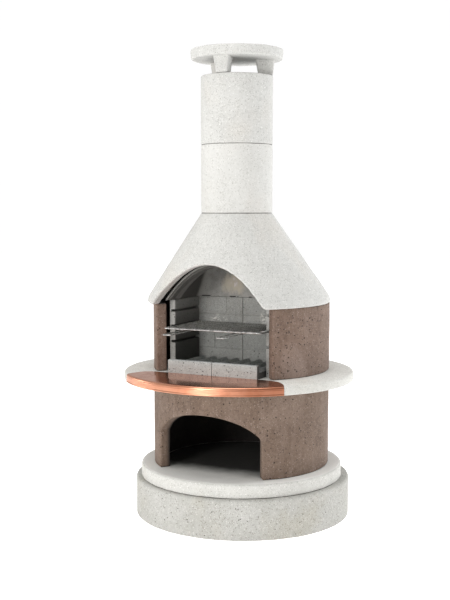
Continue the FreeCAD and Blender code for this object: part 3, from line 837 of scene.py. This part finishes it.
reach = start + inward + np.clip(rows - 1, 0, 1) * (run[-1] - np.maximum(fold, start))
angle = polar_a + (rim_a - polar_a) * np.clip(rows, 0, 1)
sheet_r, sheet_z = np.interp(reach, run, section[:, 0]), np.interp(reach, run, section[:, 1])
slope = np.stack([np.gradient(sheet_r, axis=0), np.gradient(sheet_z, axis=0)])
slope /= np.linalg.norm(slope, axis=0) + 1e-9
under_r, under_z = sheet_r + slope[1] * PLY, sheet_z - slope[0] * PLY
both_r, both_z = np.concatenate([sheet_r, under_r[::-1]]), np.concatenate([sheet_z, under_z[::-1]])
both_a = np.concatenate([angle, angle[::-1]])
points = np.stack([both_r * np.sin(both_a), shelf_y - both_r * np.cos(both_a), both_z], axis=-1)
n_rows, n_cols = both_r.shape
ends = [[i * n_cols for i in range(n_rows)], [i * n_cols + n_cols - 1 for i in range(n_rows)][::-1]]
make_piece("copper_front", [(points, grid_faces(n_rows, n_cols, True, False) + ends)], ["copper_cover"],
           copper)
print("copper spans", round(math.degrees(rim_a[-1] - rim_a[0])), "degrees of the rim")

# %% [markdown]
# ## The hood
# The hood's rim stands upright for a few centimetres, then leans in as a cone whose top lies
# under the chimney. In plan the rim is slightly longer than wide. The arch is cut straight
# through from the front, and its outer edge is rounded most, because the mould was lined there.
# The same shell function makes it.

# %% Hood
HOOD_Z1, HOOD_T, RIM_Y, ARCH_HALF, ARCH_APEX = 1.095, 0.048, -0.027, 0.292, 1.267
low, high = box_of("hood")
hood_z0, hood_z2 = float(low[2]), float(high[2])
flue_low, flue_high = box_of("chimney_pipe_lower")
flue_r, flue_y = float(flue_high[0]), float((flue_low[1] + flue_high[1]) / 2)


def cone_face(ax, ay, top_r, z_bend, z_top, soft):
    """Oval rim, ax by ay, that turns into a circle: s is the share of the climb, softened at z_bend."""
    def face(a, z):
        s = (z - z_bend) / (z_top - z_bend)
        s = 0.5 * (s + np.sqrt(s * s + soft * soft))
        x = (ax + (top_r - ax) * s) * np.sin(a)
        y = RIM_Y + (flue_y - RIM_Y) * s - (ay + (top_r - ay) * s) * np.cos(a)
        return np.stack([x, y, z * np.ones_like(a)], axis=-1)
    return face


hood_outer = cone_face(0.4505, 0.4675, flue_r - 0.001, HOOD_Z1, hood_z2, 0.022)
plain_inner = cone_face(0.402, 0.419, flue_r - 0.050, hood_z0 + 0.008, hood_z2 - 0.02, 0.02)


def hood_inner(a, z):
    """The inner cone, its angles spread in front so that the arch runs straight back."""
    wide_out = hood_outer(np.full_like(z, math.pi / 2), z)[..., 0]
    wide_in = plain_inner(np.full_like(z, math.pi / 2), z)[..., 0]
    turn = (a + math.pi) % (2 * math.pi) - math.pi
    spread = np.arcsin(np.clip(np.sin(turn) * wide_out / wide_in, -1, 1))
    weight = np.clip((math.radians(72) - np.abs(turn)) / math.radians(22), 0, 1)
    weight = weight * weight * (3 - 2 * weight)
    return plain_inner(turn + (spread - turn) * weight, z)


x = np.linspace(-ARCH_HALF, ARCH_HALF, 241)
arch_z = ARCH_APEX - (ARCH_APEX - hood_z0) * (x / ARCH_HALF) ** 2
arch_a = np.arcsin(x / hood_outer(np.full_like(x, math.pi / 2), arch_z)[:, 0])
HOOD_REACH = 0.45
hood_path = arched_edge(arch_a, arch_z, hood_z0, HOOD_REACH, 0.009, 0.0065)
lifted = np.clip((hood_path[:, 1] - hood_z0) / 0.03, 0, 1)
shell = pierced_shell(hood_path, HOOD_REACH, hood_z2, hood_outer, hood_inner, HOOD_T,
                      0.010 + 0.007 * lifted, 0.005, 0.004, 26, 0.0009, 13)
make_piece("outer_hood", [shell], ["hood"], hood_white)

# %% [markdown]
# ## The chimney and its cap
# Two plain tubes, with a thin joint between them. The cap is a disc on three feet which stand
# on the wall of the tube and widen upwards, so that smoke leaves on every side. Disc and feet
# are one casting, so they are one piece here.

# %% Chimney tubes
TUBE_WALL = 0.05
for name, node, finish, seed in (("lower_tube", "chimney_pipe_lower", pipe_white, 21),
                                 ("upper_tube", "chimney_pipe_upper", hood_white, 22)):
    low, high = box_of(node)
    r, z0, z1 = float(high[0]), float(low[2]), float(high[2])
    bore = r - TUBE_WALL
    outline = rounded_outline([(bore, z0), (r, z0), (r, z1), (bore, z1)], [0.003, 0.004, 0.004, 0.003],
                              longest=0.02)
    make_piece(name, [lathe(outline, flue_y, 224, 0.0006, seed)], [node], finish)


# %% Cap
def cap_foot(heading, z0, z1):
    """Wedge on the tube's top: a four-cornered plan, rounded, blended from foot to head.

    Foot and head are the same outline with other corners, so a point is their mix at its height."""
    plans = []
    for inner, near, outer, far in ((0.107, 0.0196, 0.172, 0.0315), (0.090, 0.021, 0.180, 0.042)):
        corners = [(-near, inner), (near, inner), (far, outer), (-far, outer)]
        plans.append(rounded_outline(corners, [0.006] * 4, 6, 9.0))
    rise = np.concatenate([[0, 0.012, 0.035], np.linspace(0.08, 1.0, 18)])[:, None, None]
    mixed = plans[0] + (plans[1] - plans[0]) * (rise + 0.10 * np.clip((rise - 0.85) / 0.15, 0, 1) ** 2)
    middle = mixed.mean(axis=1, keepdims=True)
    mixed = middle + (mixed - middle) * (1 - 0.07 * np.clip(1 - rise / 0.03, 0, 1))
    across, along = mixed[..., 0], mixed[..., 1]
    c, s = math.cos(heading), math.sin(heading)
    points = np.stack([across * c + along * s, flue_y + across * s - along * c,
                       (z0 + (z1 - z0) * rise[..., 0]) * np.ones_like(across)], axis=-1)
    n = across.shape[1]
    caps = [list(range(n))[::-1], list(range((len(rise) - 1) * n, len(rise) * n))]
    return points.reshape(-1, 3), grid_faces(len(rise), n, False, True) + caps


low, high = box_of("chimney_cap")
cap_r, cap_z0, cap_top = (high[0] - low[0]) / 2, float(low[2]), float(high[2])
CAP_THICK, EMBED = 0.047, 0.004
cap_under = cap_top - CAP_THICK
outline = rounded_outline([(0, cap_under), (cap_r - 0.004, cap_under), (cap_r, cap_top), (0, cap_top)],
                          [0, 0.008, 0.009, 0], longest=0.016)
feet = [cap_foot(math.radians(k), cap_z0, cap_under + EMBED) for k in (0, 120, 240)]
make_piece("rain_cap", [lathe(outline, flue_y, 224, 0.0006, 23)] + feet, ["chimney_cap"],
           hood_white)

# %% [markdown]
# ## The firebox lining
# Loose slabs of grey refractory concrete stand inside the fire wall. The two at the back are
# scored like coursed brick, the hearth blocks carry ridges that let air under the fire, and the
# side slabs have slots in which the cooking grid slides. A slab with a modelled face is one grid
# of points whose height is a formula, with its rim carried back and closed by one flat face.


# %% Slabs with a modelled face
def denser(low, high, marks, coarse=0.010, fine=0.0009, near=0.006):
    """Positions from low to high, close together near each mark and near both ends."""
    spots = [np.arange(low, high, coarse), [high]]
    for mark in [low, high, *marks]:
        spots.append(np.arange(mark - near, mark + near + 1e-6, fine))
    spots = np.unique(np.round(np.concatenate(spots), 5))
    spots = spots[(spots >= low) & (spots <= high)]
    keep = np.concatenate([[True], np.diff(spots) > 0.0004])
    spots = spots[keep]
    spots[-1] = high
    return spots


def slab(us, vs, drop, thick, soft, place):
    """Block whose face is lowered by drop(u, v), with a rim rounded by soft, thick from face to back.

    Near the rim at a distance e the face falls by soft - sqrt(soft^2 - (soft - e)^2)."""
    u, v = np.meshgrid(us, vs, indexing="ij")
    e = np.minimum(np.minimum(u - us[0], us[-1] - u), np.minimum(v - vs[0], vs[-1] - v)).clip(0, soft)
    w = drop(u, v) + soft - np.sqrt(np.maximum(soft * soft - (soft - e) ** 2, 0))
    face = np.stack([u, v, w], axis=-1)
    n, m = u.shape
    index = np.arange(n * m).reshape(n, m)
    rim = np.concatenate([index[:-1, 0], index[-1, :-1], index[1:, -1][::-1], index[0, 1:][::-1]])
    face = face.reshape(-1, 3)
    sides = [face]
    for share in (0.5, 1.0):
        row = face[rim].copy()
        row[:, 2] += (thick - row[:, 2]) * share
        sides.append(row)
    k = len(rim)
    first = np.stack([rim, np.roll(rim, -1), n * m + (np.arange(k) + 1) % k, n * m + np.arange(k)], axis=-1)
    second = np.stack([n * m + np.arange(k), n * m + (np.arange(k) + 1) % k,
                       n * m + k + (np.arange(k) + 1) % k, n * m + k + np.arange(k)], axis=-1)
    faces = grid_faces(n, m)
    faces = [f[::-1] for f in faces] if runs_along(faces[0], first[0]) else faces
    faces += first.tolist() + second.tolist() + [list(range(n * m + k, n * m + 2 * k))[::-1]]
    return place(np.concatenate(sides)), faces


def runs_along(quad, side):
    """True if a face quad and a side quad run along their shared edge in the same direction."""
    pairs = {(quad[i], quad[(i + 1) % 4]) for i in range(4)}
    return (int(side[0]), int(side[1])) in pairs


# %% Scored back slabs
def groove(distance, half, depth):
    """V groove with a round bottom: depth times a bell of the distance from its middle."""
    return depth * np.exp(-(distance / half) ** 4)


COURSE = 0.0875
back_low, back_high = box_of("back_panel_right")
for side, name in ((-1, "back_slab_left"), (1, "back_slab_right")):
    node = name.replace("slab", "panel")
    uprights = [(1, 0.156), (0, 0.088)] if side > 0 else [(3, 0.091), (1, 0.156)]
    base = float(back_low[2])
    levels = [base + k * COURSE for k in (1, 2, 3)]

    def scored(x, z, uprights=uprights, levels=levels, base=base, side=side):
        """Lowest of all grooves at each point, with a slow waviness of the brick faces."""
        drop = np.zeros_like(x)
        wander = 0.0006 * np.sin(x * 61.0 + side)
        for level in levels:
            drop = np.maximum(drop, groove(z - level + wander, 0.0023, 0.0030))
        for course, where in uprights:
            inside = (z > base + course * COURSE) & (z < base + (course + 1) * COURSE)
            drop = np.maximum(drop, groove(x - where, 0.0023, 0.0030) * inside)
        p = np.stack([x, z, 0 * x], axis=-1)
        return drop + 0.0003 * (1 + ripple(p, 0.05, 31 + side))

    us = denser(float(back_low[0]), float(back_high[0]), [w for _, w in uprights])
    vs = denser(base, float(back_high[2]), levels)
    front, depth = float(back_low[1]), float(back_high[1] - back_low[1])
    block = slab(us, vs, scored, depth, 0.004,
                 lambda p, side=side: np.stack([side * p[:, 0], front + p[:, 2], p[:, 1]], axis=1))
    make_piece(name, [block], [node], grey_lining)

# %% Ridged hearth blocks
low, high = box_of("hearth_block_right")
KERB_DEPTH, RIDGE_PITCH, CREST_DROP = 0.024, 0.0634, 0.022
TRENCH_DEPTH, TRENCH_HALF, FLANK = 0.024, 0.027, 0.022
hearth_top, kerb_back = float(high[2]), float(low[1]) + KERB_DEPTH
trenches = [RIDGE_PITCH * k for k in range(5)]


def ridged(x, y):
    """Behind the kerb: crests 22 mm below its top, and sloping trenches 24 mm deep between them."""
    near = np.min([np.abs(x - t) for t in trenches], axis=0)
    trench = np.clip((TRENCH_HALF - near) / FLANK, 0, 1)
    trench = trench * trench * (3 - 2 * trench) * 0.35 + trench * 0.65
    back = np.clip((y - kerb_back) / 0.003 + 0.5, 0, 1)
    p = np.stack([x, y, 0 * x], axis=-1)
    return (CREST_DROP + TRENCH_DEPTH * trench) * back + 0.0004 * (1 + ripple(p, 0.03, 41))


for side, name in ((-1, "hearth_left"), (1, "hearth_right")):
    marks = trenches + [t + k for t in trenches for k in (-TRENCH_HALF, TRENCH_HALF)]
    us = denser(float(low[0]), float(high[0]), marks, 0.006, 0.0015, 0.006)
    vs = denser(float(low[1]), float(high[1]), [kerb_back], 0.012, 0.001, 0.006)
    block = slab(us, vs, ridged, hearth_top - float(low[2]), 0.005,
                 lambda p, side=side: np.stack([side * p[:, 0], p[:, 1], hearth_top - p[:, 2]], axis=1))
    make_piece(name, [block], ["hearth_block_left" if side < 0 else "hearth_block_right"],
               kerb_grey)

# %% Slotted side slabs
low, high = box_of("side_liner_right")
x0, x1, z0, z1 = float(low[0]), float(high[0]), float(low[2]), float(high[2])
corners, radii = [(x0, z0)], [0.004]
SLOT_FLOORS, SLOT_DEPTH, SLOT_HEIGHT = (0.874, 0.950, 1.026), 0.023, 0.012
for z in SLOT_FLOORS:
    deep, roof = x0 + SLOT_DEPTH, z + SLOT_HEIGHT
    corners += [(x0, z), (deep, z), (deep, roof), (x0, roof)]
    radii += [0.004, 0.0035, 0.0035, 0.004]
corners += [(x0, z1), (x1, z1), (x1, z0)]
radii += [0.004, 0.004, 0.004]
slotted = rounded_outline(corners, radii, 5, 0.012)
for side, name in ((-1, "side_slab_left"), (1, "side_slab_right")):
    block = prism(slotted, float(low[1]), float(high[1]), 0.0025,
                  lambda p, side=side: np.stack([side * p[:, 0], p[:, 2], p[:, 1]], axis=1),
                  0.012, 0.0005, 51 + side)
    make_piece(name, [block], ["side_liner_left" if side < 0 else "side_liner_right"],
               side_lining)

# %% [markdown]
# ## The smoke hood
# Inside the white hood hangs a thinner one of refractory concrete that gathers the smoke. It is
# oblong below and round at the chimney. Its mouth is another arch, framed by a moulded lip with a
# raised outer band. Funnel and lip are one casting: two closed sheets that run into each other.

# %% Funnel
LIP_HALF, LIP_APEX, LIP_W, LIP_SLOPE = 0.253, 1.251, 0.022, 0.186
WIDE, DEEP, THROAT, MOUTH_Y, FUNNEL_T, FUNNEL_REACH = 0.275, 0.1525, 0.140, -0.1035, 0.028, 0.26
low, high = box_of("smoke_hood")
smoke_z0, smoke_z1 = float(low[2]), float(high[2])


def funnel_face(inset):
    """Superellipse |x/w|^p + |y/d|^p = 1 whose power falls from 9 to 2 as it rises."""
    def face(a, z):
        s = np.clip((z - smoke_z0) / (smoke_z1 - smoke_z0), 0, 1)
        p = 9.0 - 7.0 * s
        wide, deep = WIDE + (THROAT - WIDE) * s - inset, DEEP + (THROAT - DEEP) * s - inset
        k = (np.abs(np.sin(a)) ** p + np.abs(np.cos(a)) ** p) ** (-1 / p)
        y = MOUTH_Y + (flue_y - MOUTH_Y) * s - deep * k * np.cos(a)
        return np.stack([wide * k * np.sin(a), y, z * np.ones_like(a)], axis=-1)
    return face


hole_half, hole_apex = LIP_HALF + 0.006, LIP_APEX + 0.006
x = np.linspace(-hole_half, hole_half, 161)
arch_z = hole_apex - (hole_apex - smoke_z0) * (x / hole_half) ** 2
s = (arch_z - smoke_z0) / (smoke_z1 - smoke_z0)
share, power = np.abs(x) / (WIDE + (THROAT - WIDE) * s), 9.0 - 7.0 * s
arch_a = np.sign(x) * np.arctan2(share, (1 - share ** power) ** (1 / power))
funnel_path = arched_edge(arch_a, arch_z, smoke_z0, FUNNEL_REACH, 0.004, 0.0075)
funnel = pierced_shell(funnel_path, FUNNEL_REACH, smoke_z1, funnel_face(0.0), funnel_face(FUNNEL_T),
                       FUNNEL_T, 0.002, 0.002, 0.002, 18, 0.0006, 14)

# %% Moulded lip
front, back, band, step_back = float(low[1]), -0.245, 0.011, 0.011
ledge, inner_edge = front + step_back, LIP_W - band
profile = rounded_outline([(0, back), (0, ledge), (inner_edge, ledge), (inner_edge, front),
                           (LIP_W, front), (LIP_W, back)],
                          [0.002, 0.004, 0.002, 0.003, 0.0045, 0.002], 5, 0.008)
share = np.linspace(-1, 1, 120)[:, None]
grow = profile[:, 0]
lip_x = (LIP_HALF + grow) * share
lip_z = LIP_APEX + grow - (LIP_APEX + grow - smoke_z0) * share ** 2
leaned = np.clip((profile[:, 1] - front - 0.015) / 0.02, 0, 1) * LIP_SLOPE * (lip_z - smoke_z0)
lip_points = np.stack([lip_x, profile[:, 1] + leaned, lip_z], axis=-1)
lip_points[..., 2] += 0.0005 * ripple(lip_points, 0.06, 61) * (1 - share ** 8)
n = len(profile)
lip_faces = grid_faces(120, n, False, True) + [list(range(n))[::-1], list(range(119 * n, 120 * n))]
make_piece("inner_smoke_hood", [funnel, (lip_points, lip_faces)], ["smoke_hood"], soot_and_shade)

# %% [markdown]
# ## The cooking grid
# The grid is welded from chromed wire: a hoop that runs in the slots, two cross rods, thirty-seven
# thin bars and two long handles. Wire is a circle carried along a line that lies in a level
# plane, so its frame is simply the level normal and the upright. Open wires end in a dome.


# %% Wire
def wire(path, radius, closed=False, sides=12):
    """Tube round a level path: point = path + radius (cos f normal + sin f up), domed at open ends."""
    path = np.asarray(path, float)
    if closed:
        ahead = np.roll(path, -1, axis=0) - np.roll(path, 1, axis=0)
        size = np.full(len(path), radius)
    else:
        dome = np.linspace(0, math.pi / 2, 4)
        first, last = path[1] - path[0], path[-1] - path[-2]
        first, last = first / np.linalg.norm(first), last / np.linalg.norm(last)
        taper = radius * np.sin(dome[:3]) + radius * 0.12
        size = np.minimum(np.concatenate([taper, np.full(len(path), radius), taper[::-1]]), radius)
        inner = path.copy()
        inner[0] += first * radius
        inner[-1] -= last * radius
        setback = (radius * (1 - np.cos(dome[:3])))[:, None]
        starts = path[0] + first * setback
        ends = (path[-1] - last * setback)[::-1]
        path = np.concatenate([starts, inner, ends])
        ahead = np.gradient(path, axis=0)
    ahead /= np.linalg.norm(ahead, axis=1)[:, None]
    level = np.stack([-ahead[:, 1], ahead[:, 0], 0 * ahead[:, 0]], axis=1)
    f = np.linspace(0, 2 * math.pi, sides, endpoint=False)[:, None, None]
    points = path + size[:, None] * (np.cos(f) * level + np.sin(f) * [0, 0, 1.0])
    points = points.transpose(1, 0, 2)
    rows = len(path)
    faces = grid_faces(rows, sides, closed, True)
    if not closed:
        faces += [list(range(sides))[::-1], list(range((rows - 1) * sides, rows * sides))]
    return points.reshape(-1, 3), faces


def bent(points, radius, closed=False):
    """Corner points in a level plane made into a path with round bends."""
    flat = np.array([p[:2] for p in points], float)
    radii = [radius] * len(flat)
    if not closed:
        radii[0] = radii[-1] = 0.0
    loop = rounded_outline(flat, radii, 10, 0.03)
    if not closed:
        stop = int(np.flatnonzero(np.linalg.norm(loop - flat[-1], axis=1) < 1e-9)[0])
        loop = loop[:stop + 1]
    return np.column_stack([loop, np.full(len(loop), points[0][2])])


# %% Hoop, rods, bars and handles
low, high = box_of("grid_frame")
hoop_r = float(high[2] - low[2]) / 2
hx, hz = float(high[0]) - hoop_r, float(high[2]) - hoop_r
hy0, hy1 = float(low[1]) + hoop_r, float(high[1]) - hoop_r
hoop = bent([(-hx, hy0, hz), (hx, hy0, hz), (hx, hy1, hz), (-hx, hy1, hz)], 0.014, True)
make_piece("grid_hoop", [wire(hoop, hoop_r, True, 14)], ["grid_frame"], chrome, "grid")

low, high = box_of("grid_cross_rods")
rods = [wire([(x, y, hz) for x in np.linspace(float(low[0]), float(high[0]), 24)], hoop_r)
        for y in (float(low[1]) + hoop_r, float(high[1]) - hoop_r)]
make_piece("grid_rods", rods, ["grid_cross_rods"], chrome, "grid")

low, high = box_of("grid_bars")
bar_r = float(high[2] - low[2]) / 2
bars = []
for k, x in enumerate(np.linspace(float(low[0]) + bar_r, float(high[0]) - bar_r, 37)):
    y = np.linspace(float(low[1]), float(high[1]), 14)
    bow = 0.0007 * math.sin(k * 2.4) * np.sin(math.pi * (y - y[0]) / (y[-1] - y[0]))
    bars.append(wire(np.stack([x + bow, y, np.full(14, float(high[2]) - bar_r)], axis=1), bar_r, sides=8))
make_piece("grid_bars_row", bars, ["grid_bars"], chrome, "grid")

for name, node in (("grid_grip_left", "grid_handle_left"), ("grid_grip_right", "grid_handle_right")):
    low, high = box_of(node)
    r = float(high[2] - low[2]) / 2
    x0, x1 = float(low[0]) + r, float(high[0]) - r
    y0, y1, z = float(low[1]) + r, float(high[1]), float(high[2]) - r
    u_bend = bent([(x0, y1, z), (x0, y0, z), (x1, y0, z), (x1, y1, z)], 0.012)
    make_piece(name, [wire(u_bend, r, False, 14)], [node], chrome, "grid")

# %% [markdown]
# ## The floor and the backdrop
# A wide, nearly white sheet on which the base stands, and far behind it a bright dome. The dome
# is only for the eye: it lights nothing, so that its brightness and the strength of the light can
# be chosen apart. Both are stage pieces, so they belong to the scene and not to the object.

# %% Floor
mesh = bpy.data.meshes.new("floor")
FAR, UNDER = 24, -0.001
mesh.from_pydata([(-FAR, -FAR, UNDER), (FAR, -FAR, UNDER), (FAR, FAR, UNDER), (-FAR, FAR, UNDER)],
                 [], [(0, 1, 2, 3)])
floor = bpy.data.objects.new("floor", mesh)
scene.collection.objects.link(floor)
paper = Finish("paper_sweep", Roughness=0.95, Emission_Strength=0.66)
paper.wire("Base Color", paper.mix(paper.noise(1.5), rgb(0.93, 0.93, 0.93), rgb(0.96, 0.96, 0.96)))
paper.shader.inputs["Emission Color"].default_value = rgb(1.0, 1.0, 1.0)
mesh.materials.append(paper.material)

# %% Backdrop dome
TURNS, RINGS = 48, 18
around, up = np.meshgrid(np.linspace(0, 2 * math.pi, TURNS, endpoint=False),
                         np.linspace(-0.1, 1.45, RINGS), indexing="ij")
dome = np.stack([np.cos(around) * np.cos(up), np.sin(around) * np.cos(up), np.sin(up)], axis=-1) * 30.0
mesh = bpy.data.meshes.new("backdrop")
rim = [(k + 1) * RINGS - 1 for k in range(TURNS)]
mesh.from_pydata(dome.reshape(-1, 3).tolist(), [], grid_faces(TURNS, RINGS, True, False) + [rim])
backdrop = bpy.data.objects.new("backdrop", mesh)
scene.collection.objects.link(backdrop)
white = Finish("backdrop_white", Roughness=1.0, Emission_Strength=1.0)
white.shader.inputs["Base Color"].default_value = rgb(0.0, 0.0, 0.0)
white.shader.inputs["Emission Color"].default_value = rgb(1.0, 1.0, 1.0)
mesh.materials.append(white.material)
for kind in ("diffuse", "glossy", "transmission", "volume_scatter", "shadow"):
    setattr(backdrop, "visible_" + kind, False)
